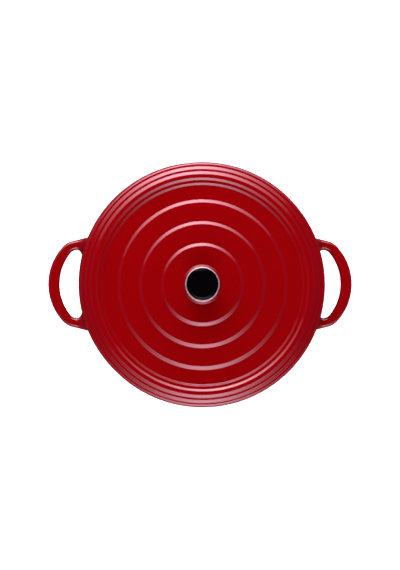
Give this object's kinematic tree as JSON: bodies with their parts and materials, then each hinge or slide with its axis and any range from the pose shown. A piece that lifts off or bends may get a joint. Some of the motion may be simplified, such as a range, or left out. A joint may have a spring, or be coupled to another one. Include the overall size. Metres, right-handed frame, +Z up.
{
  "type": "dutch oven",
  "caption": "Round enamelled cast iron dutch oven with loop handles, a stepped and ringed lid that lifts off, and a round black knob.",
  "frame": {"origin": "on the pot's axis, at the middle of the surface that the foot ring stands on; this is the bottom centre of the bounding box", "axes": "+Z up along the pot's axis, +X along the two loop handles, +Y across them"},
  "size_m": [0.3638, 0.2901, 0.1772],
  "materials": {
    "pot_enamel": "gloss red enamel outside, pale sand enamel inside, matt dark rim",
    "lid_enamel": "gloss red enamel on top, pale sand enamel underneath, matt dark seat",
    "knob_phenolic": "moulded black phenolic, semi-gloss",
    "collar_stainless": "turned and polished stainless",
    "insert_brass": "machined",
    "fixing_steel": "zinc plated"
  },
  "bodies": {
    "pot": {"pot": "pot_enamel"},
    "lid": {"lid": "lid_enamel", "knob_grip": "knob_phenolic", "knob_collar": "collar_stainless", "knob_insert": "insert_brass", "knob_screw": "fixing_steel", "flat_washer": "fixing_steel", "lock_washer": "fixing_steel"}
  },
  "joints": [
    {"name": "lid_lift", "type": "slide", "parent": "pot", "child": "lid", "axis": [0, 0, 1], "range_m": [0, 0.15]}
  ]
}
